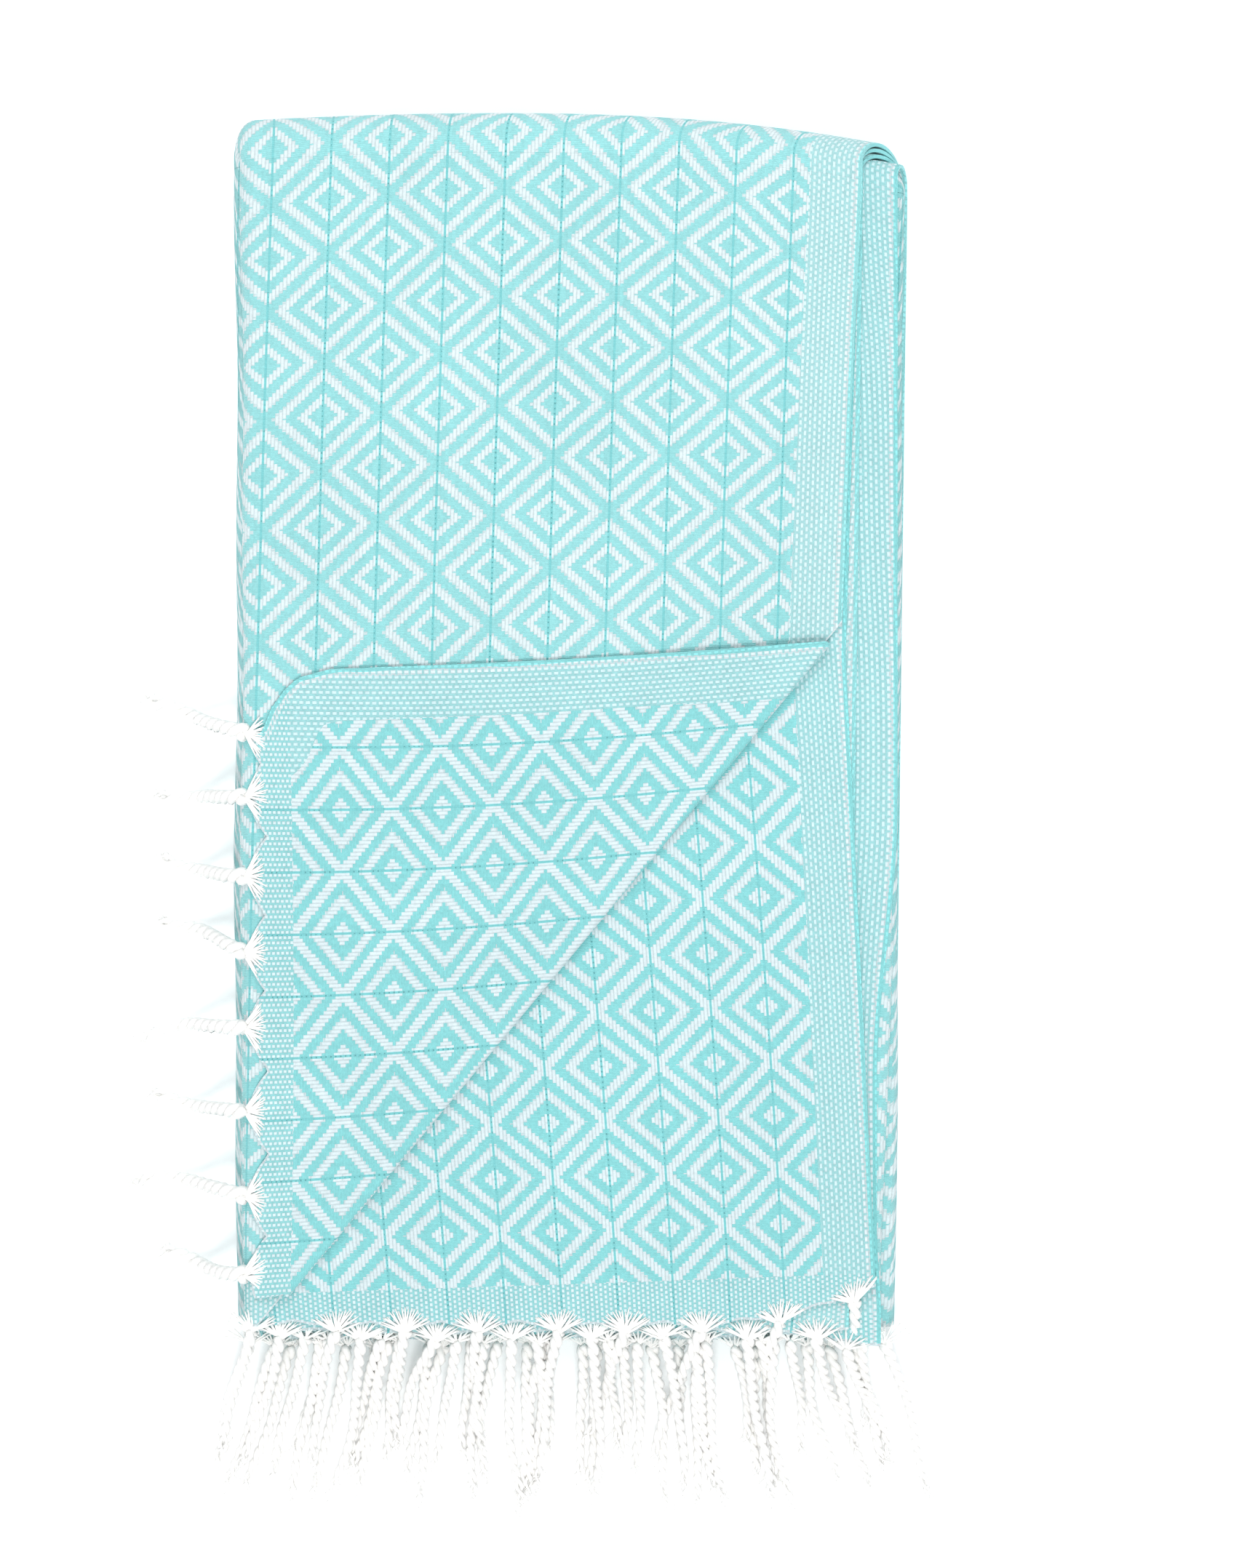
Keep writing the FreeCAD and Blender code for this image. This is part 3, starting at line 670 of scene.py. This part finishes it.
# The selvedge as laid, round the cloth's own corner and straight on to the crease.
ROUNDED = [(-110.9, -3.4), (-107.2, 5.8), (-102.4, 12.4), (-97.7, 16.6), (-86.0, 19.8)]
SELVEDGE = ROUNDED + [(-21.0, 22.2), (35.0, 25.8), (56.0, 26.6), (99.3, FLAP_TOP)]
ROUND_START, ROUND_STOP = ROUNDED[0][1], ROUNDED[-1][1]
NO_WARP_END = -400.0


def flap_left(y):
    """X of the corner's warp end, with its rounded corner and its scallops between tassels."""
    round_x, round_y = zip(*ROUNDED)
    straight = FLAP_END + drawn_back(y, FLAP_ROOTS, CORNER_NOTCH)
    return np.where(y > ROUND_START, np.interp(y, round_y, round_x), straight)


def off_selvedge(x, y):
    """Distance in mm from the corner's selvedge."""
    line = np.array(SELVEDGE)
    fine = np.linspace(0, len(line) - 1, 240)
    edge_x, edge_y = (np.interp(fine, range(len(line)), line[:, axis]) for axis in (0, 1))
    away = np.hypot(x[..., None] - edge_x, y[..., None] - edge_y)
    return away.min(-1)


# The warp end hangs over the left folds, on this radius from this X on.
HANG_START = -110.0
HANG_RADIUS = 8.4


def hang_of(x):
    """How far the warp end has come down at X."""
    beyond = np.clip(HANG_START - x, 0, HANG_RADIUS - 0.5)
    return 0.75 * (HANG_RADIUS - np.sqrt(HANG_RADIUS**2 - beyond**2))


def turned_corner(name):
    """The corner as a grid of rows from its warp end to its crease, and the roll that goes on from there."""
    row = np.linspace(0, 1, CORNER_ROWS)[:, None] ** 1.05
    share = np.linspace(0, 1, CORNER_COLUMNS)[None, :]
    left_y = ROUND_STOP - (ROUND_STOP - FLAP_FOOT + 1.5) * row
    crease_y = FLAP_TOP - (FLAP_TOP - FLAP_FOOT) * row
    left = flap_left(left_y)
    x = left + (crease_x(crease_y) - left) * share
    bow = -1.1 * np.sin(math.pi * share) * (1 - row) ** 4
    y = left_y + (crease_y - left_y) * share + bow
    out = (math.sin(CREASE_ANGLE), -math.cos(CREASE_ANGLE))
    off = -((x - CREASE_FOOT) * out[0] + y * out[1])
    rolled = LEAF_TOP + 2 * ROLL
    z = FLAP_HEIGHT + (rolled - FLAP_HEIGHT) * np.exp(-((off / ROLL_SPREAD) ** 2))
    selvedge = off_selvedge(x, y)
    z = z + 2.0 * ease(x, 10, 90) * (1 - ease(selvedge, 2, 26)) + 0.4 * (1 - ease(selvedge, 0, 8))
    z = z - hang_of(x)

    # The roll goes on from the flap's edge, round to the leaf below.
    angle = math.pi * np.linspace(0, 1, 10)[None, 1:]
    roll_x = x[:, -1:] + out[0] * ROLL * np.sin(angle)
    roll_y = y[:, -1:] + out[1] * ROLL * np.sin(angle)
    rise = (z[:, -1:] - LEAF_TOP) / 2
    roll_z = LEAF_TOP + rise * (1 + np.cos(angle))
    on_x = x[:, -1:] + out[0] * ROLL * angle
    on_y = y[:, -1:] + out[1] * ROLL * angle
    weave_x, weave_y = np.hstack([x, on_x]), np.hstack([y, on_y])
    x, y, z = np.hstack([x, roll_x]), np.hstack([y, roll_y]), np.hstack([z, roll_z])
    across = weave_at(weave_x, weave_y, FLAP_ACROSS) * PIN_SPACING
    along = weave_at(weave_x, weave_y, FLAP_ALONG) * DIAMOND_HEIGHT
    from_end = weave_x - np.where(y > ROUND_START, NO_WARP_END, flap_left(y))
    edges = np.stack([off_selvedge(weave_x, weave_y), from_end], -1)
    points = settle(np.stack([x, y, z], -1))
    weave = np.stack([across, along], -1)
    return two_faced_grid(name, points, weave, edges, [back_weave, face_weave, selvedge_yarn], flip=False)


corner = turned_corner("turned_cloth_corner")
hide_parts("corner_flap", "corner_roll")
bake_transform(corner)


# --- the bottom fringe ---------------------------------------------------------------------------
# The warp's own white yarns, gathered in bunches of about two dozen at the cloth's end, knotted and
# twisted hard into two-strand cords that fray at their tips. They fall past the stack to the table.

TASSEL = 3.2
TWIST = 9.5
TASSEL_STEPS = 60
FRAYED_ENDS = 5
ON_CLOTH, ON_TABLE = 4.9, 1.75
ON_FACE = CLOTH / 2 + 0.02
TOP_ROW_SLANTS = [-15, -9, -4, 3, -7, -14, -17, -13, 7]


def tube(points, radii, sides=6):
    """Rings round a line of points, closed at both ends."""
    way = np.gradient(points, axis=0)
    way /= np.linalg.norm(way, axis=1)[:, None]
    side = np.cross(way, (0.0, 0.0, 1.0))
    side /= np.linalg.norm(side, axis=1)[:, None] + 1e-9
    up = np.cross(side, way)
    turn = 2 * math.pi * np.arange(sides) / sides
    ring = side[:, None] * np.cos(turn)[None, :, None] + up[:, None] * np.sin(turn)[None, :, None]
    corners = points[:, None] + ring * np.asarray(radii)[:, None, None]
    number = np.arange(len(points) * sides).reshape(len(points), sides)
    around = np.roll(number, -1, axis=1)
    quads = np.stack([number[:-1], number[1:], around[1:], around[:-1]], -1).reshape(-1, 4)
    faces = quads.tolist() + [number[0].tolist(), number[-1][::-1].tolist()]
    return corners.reshape(-1, 3), faces


def strands_of(root, tip, rest, bow, chance, girth=1.0):
    """One tassel: two strands twisted round each other, and the hairs they fray into. Each is its points, its
    radii and its number of sides."""
    root, tip = np.array(root, float), np.array(tip, float)
    t = np.linspace(0, 1, TASSEL_STEPS)
    way = (tip - root)[:2]
    reach = np.linalg.norm(way)
    across = np.array([-way[1], way[0]]) / reach
    phase = chance.uniform(0, 6.28)
    sway = bow * np.sin(math.pi * t) + 1.3 * t * np.sin(7.5 * t + phase)
    fall = 1 - ease(t, 0.0, 0.66)
    laid = root[:2] + way * t[:, None] + across * sway[:, None]
    line = np.column_stack([laid, rest + (root[2] - rest) * fall])
    on = np.concatenate([[0], np.cumsum(np.linalg.norm(np.diff(line, axis=0), axis=1))])
    thick = girth * TASSEL / 2 * (1.24 - 0.36 * t + 0.24 * np.exp(-((t / 0.06) ** 2)))
    frayed = ease(t, 0.80, 1.0)
    tangent = np.gradient(line, axis=0)
    tangent /= np.linalg.norm(tangent, axis=1)[:, None]
    side = np.cross(tangent, (0, 0, 1.0))
    side /= np.linalg.norm(side, axis=1)[:, None]
    up = np.cross(side, tangent)
    found = []
    for strand in range(2):
        turn = 2 * math.pi * on / TWIST + phase + math.pi * strand
        off = 0.52 * thick * (1 + 0.9 * frayed)
        beside, above = off * np.cos(turn), off * np.sin(turn) * (1 - 0.5 * frayed)
        points = line + side * beside[:, None] + up * above[:, None]
        radii = 0.62 * thick * (1 - 0.80 * frayed)
        points[:, 2] = np.maximum(points[:, 2], radii + 0.05)
        found.append((points, radii, 6))
    for _ in range(FRAYED_ENDS):
        begin = int(chance.uniform(0.72, 0.92) * TASSEL_STEPS)
        length = chance.uniform(5, 12)
        lean = chance.uniform(-0.7, 0.7)
        u = np.linspace(0, 1, 9)
        ahead = way / reach
        bent = lean * u + 0.35 * np.sin(5 * u + phase) * u
        hair = line[begin, :2] + length * (ahead * u[:, None] + across * bent[:, None])
        start = line[begin, 2]
        height = start + (0.35 - start) * ease(u, 0.0, 0.6) + 0.4 * chance.uniform(0, 1) * u
        found.append((np.column_stack([hair, height]), 0.22 * (1 - 0.7 * u), 4))
    return found


def gathered_yarns(root, edge_points, chance):
    """The bare warp yarns between the cloth's end and the knot, drawn together."""
    found = []
    for start in edge_points:
        u = np.linspace(0, 1, 6)
        end = np.array(root) + np.array([chance.uniform(-0.7, 0.7), chance.uniform(-0.7, 0.7), 0.5])
        line = np.array(start) + (end - np.array(start)) * u[:, None]
        line[:, 2] += 0.8 * np.sin(math.pi * u)
        found.append((line, np.interp(u, [0, 0.4, 1], [0.24, 0.38, 0.50]), 5))
    return found


def cord_piece(name, strands, material):
    """Makes one mesh of many round yarns."""
    corners, faces, count = [], [], 0
    for points, radii, sides in strands:
        some, rings = tube(points, radii, sides)
        corners.append(some)
        faces.extend([[corner + count for corner in ring] for ring in rings])
        count += len(some)
    mesh = bpy.data.meshes.new(name)
    mesh.from_pydata((np.vstack(corners) * MM).tolist(), [], faces)
    mesh.materials.append(material)
    mesh.polygons.foreach_set("use_smooth", [True] * len(mesh.polygons))
    piece = bpy.data.objects.new(name, mesh)
    bpy.context.scene.collection.objects.link(piece)
    return piece


fringe_cotton = spun_cotton("fringe_cotton_white", "FBFAF7", 1100.0, 0.16)


def settled(x, y, z):
    """One place, settled as the cloth is."""
    return settle(np.array([[x, y, z]], float))[0]


def leaf_fringe(leaf):
    """One leaf's row of tassels, each with its gathered yarns."""
    chance = np.random.default_rng(40 + leaf)
    roots = roots_of(leaf)
    strands = []
    on_top = leaf >= 13
    widest = float(selvedge_x(leaf, FRONT, 0.0)) if leaf >= 12 else math.inf
    for number, x in enumerate(roots):
        x = min(x, widest - 3.0)
        end_y = float(warp_end(leaf, x))
        root = settled(x, end_y - 0.6, LEAF_HEIGHT[leaf])
        slant = TOP_ROW_SLANTS[number] if leaf == 14 else 0.15 * x + chance.uniform(-4, 4) - 2.0
        if leaf == 13:
            slant += chance.uniform(-7, 7)
        reach = chance.uniform(43, 67)
        rest = ON_CLOTH if on_top else ON_TABLE
        tip = (root[0] + slant, root[1] - reach)
        strands += strands_of(root, (*tip, rest), rest, chance.uniform(-3.5, 3.5), chance)
        across = x + np.minimum(fan_spread(FAN_YARNS if on_top else HIDDEN_YARNS), widest - 0.4 - x)
        edge = warp_end(leaf, across) + drawn_back(across, [x], NOTCH, YARN_REACH)
        edge = edge + chance.uniform(0, UNEVEN, len(across))
        places = [settled(start, y, LEAF_HEIGHT[leaf] + ON_FACE) for start, y in zip(across, edge)]
        strands += gathered_yarns(root, places, chance)
    return strands


def row_name(leaf):
    """The node that a row stands for."""
    return "second_leaf_tassels" if leaf == 14 else f"upper_leaf_{leaf - 7}_tassels"


for leaf in sorted(ROW_OF_LEAF):
    fringe = cord_piece(f"fringe_of_leaf_{leaf + 1}", leaf_fringe(leaf), fringe_cotton)
    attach(fringe, "upper_half")
    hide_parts(row_name(leaf))
    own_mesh(fringe)


# --- the turned corner's fringe ------------------------------------------------------------------
# Eight more of the same tassels leave the turned corner's warp end. They stand off the left folds and
# touch down at their tips.

GIRTH = 1.35
TIP_HEIGHT = 1.6
FLAP_TIPS = [(-41, 14), (-36, 1), (-35, 8), (-37, 12), (-44, -6), (-39, 4), (-46, 2), (-35, 7)]


def corner_fringe():
    """The corner's tassels. A fan starts only where the warp end is straight."""
    chance = np.random.default_rng(7)
    strands = []
    for y, (out, up) in zip(FLAP_ROOTS, FLAP_TIPS):
        root = settled(FLAP_END - 0.6, y, FLAP_HEIGHT - 1.6)
        tip = (root[0] + out, root[1] + up, TIP_HEIGHT)
        strands += strands_of(root, tip, TIP_HEIGHT, chance.uniform(-3, 3), chance, girth=GIRTH)
        places = []
        for start in y + fan_spread(FAN_YARNS):
            if not FLAP_FOOT + 1 <= start <= 3:
                continue
            edge = FLAP_END + float(drawn_back(start, [y], CORNER_NOTCH, YARN_REACH))
            edge += chance.uniform(0, UNEVEN)
            places.append(settled(edge, start, FLAP_HEIGHT + ON_FACE - float(hang_of(edge))))
        strands += gathered_yarns(root, places, chance)
    return strands


corner_tassels = cord_piece("turned_corner_tassels", corner_fringe(), fringe_cotton)
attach(corner_tassels, "corner_fringe")
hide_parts(*[f"flap_tassel_{n}" for n in range(1, 9)])
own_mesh(corner_tassels)


# --- what the cloth was cut to -------------------------------------------------------------------
# The towel is about 0.92 m wide and 1.76 m long between its fringes. The corner is a triangle, 0.21 m along the
# warp end.


# --- the table, the light and the camera ---------------------------------------------------------
# A plain white table under a big soft light from the fringe side, seen from straight above.

bpy.ops.mesh.primitive_plane_add(size=6)
floor = bpy.context.object
floor.name = "floor"
table = bpy.data.materials.new("matt_white_table")
table.use_nodes = True
tree = table.node_tree
tree.nodes.clear()
on_table = node(tree, "TexCoord").node.outputs["Object"]
grain = node(tree, "TexNoise", on_table, at={"Scale": 60.0, "Detail": 2.0})
tone = node(tree, "MixRGB", grain, linear("FCFDFD"), linear("F7F9F9"))
node(tree, "OutputMaterial", node(tree, "BsdfPrincipled", tone, at={
    "Roughness": 0.9, "Specular IOR Level": 0.1, "Emission Color": linear("FFFFFF"), "Emission Strength": 0.18,
}))
floor.data.materials.append(table)

world = bpy.data.worlds.new("white_room")
bpy.context.scene.world = world
world.use_nodes = True
background = world.node_tree.nodes["Background"].inputs
background["Color"].default_value = linear("FAFCFF")
background["Strength"].default_value = 0.66


def softbox(name, place, size, power):
    """A square soft light, in metres and watts, that looks at the towel's middle."""
    light = bpy.data.lights.new(name, "AREA")
    light.shape = "SQUARE"
    light.size = size
    light.energy = power
    lamp = bpy.data.objects.new(name, light)
    bpy.context.scene.collection.objects.link(lamp)
    lamp.location = place
    lamp.rotation_euler = (-lamp.location).to_track_quat("-Z", "Y").to_euler()


softbox("key_softbox", place=(0.1, -1.8, 4.0), size=1.2, power=84.0)
softbox("fill_softbox", place=(0.0, 0.9, 1.1), size=0.8, power=6.6)

camera = bpy.data.objects.new("camera", bpy.data.cameras.new("camera"))
bpy.context.scene.collection.objects.link(camera)
camera.data.lens = 85
camera.data.sensor_width = 36
camera.location = (0.0218, -0.0219, 1.372)
bpy.context.scene.camera = camera
bpy.context.scene.view_settings.view_transform = "Standard"

bpy.context.view_layer.update()
